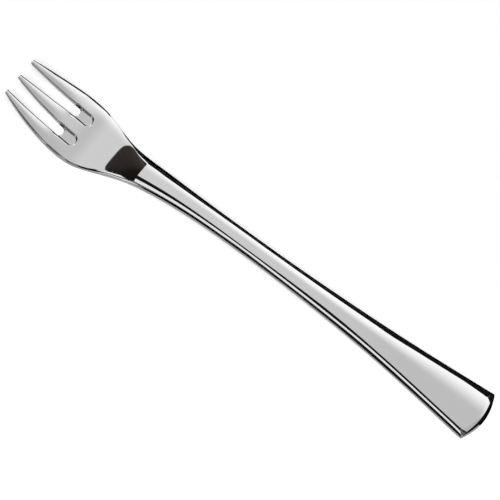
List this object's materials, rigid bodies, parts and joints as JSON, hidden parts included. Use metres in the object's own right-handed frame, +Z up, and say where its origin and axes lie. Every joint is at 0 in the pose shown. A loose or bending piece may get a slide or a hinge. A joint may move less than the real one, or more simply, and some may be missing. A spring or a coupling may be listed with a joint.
{
  "type": "oyster fork",
  "caption": "Small table fork with broad flat tines, stepped slot roots, a short palm, a thick neck and a bevelled handle that narrows to a waist and flares to an arched end.",
  "frame": {"origin": "middle of the fork's footprint, on the table that it lies on", "axes": "+X along the fork from the tine tips to the handle end, +Y to the right with the tips pointing away, +Z up from the table to the hollow side of the palm"},
  "size_m": [0.15, 0.0182, 0.0106],
  "materials": {
    "polished_steel": "mirror-polished stainless steel"
  },
  "bodies": {
    "root": {"left_tine": "polished_steel", "middle_tine": "polished_steel", "right_tine": "polished_steel", "head": "polished_steel", "neck": "polished_steel", "shank": "polished_steel", "handle": "polished_steel"}
  },
  "joints": []
}
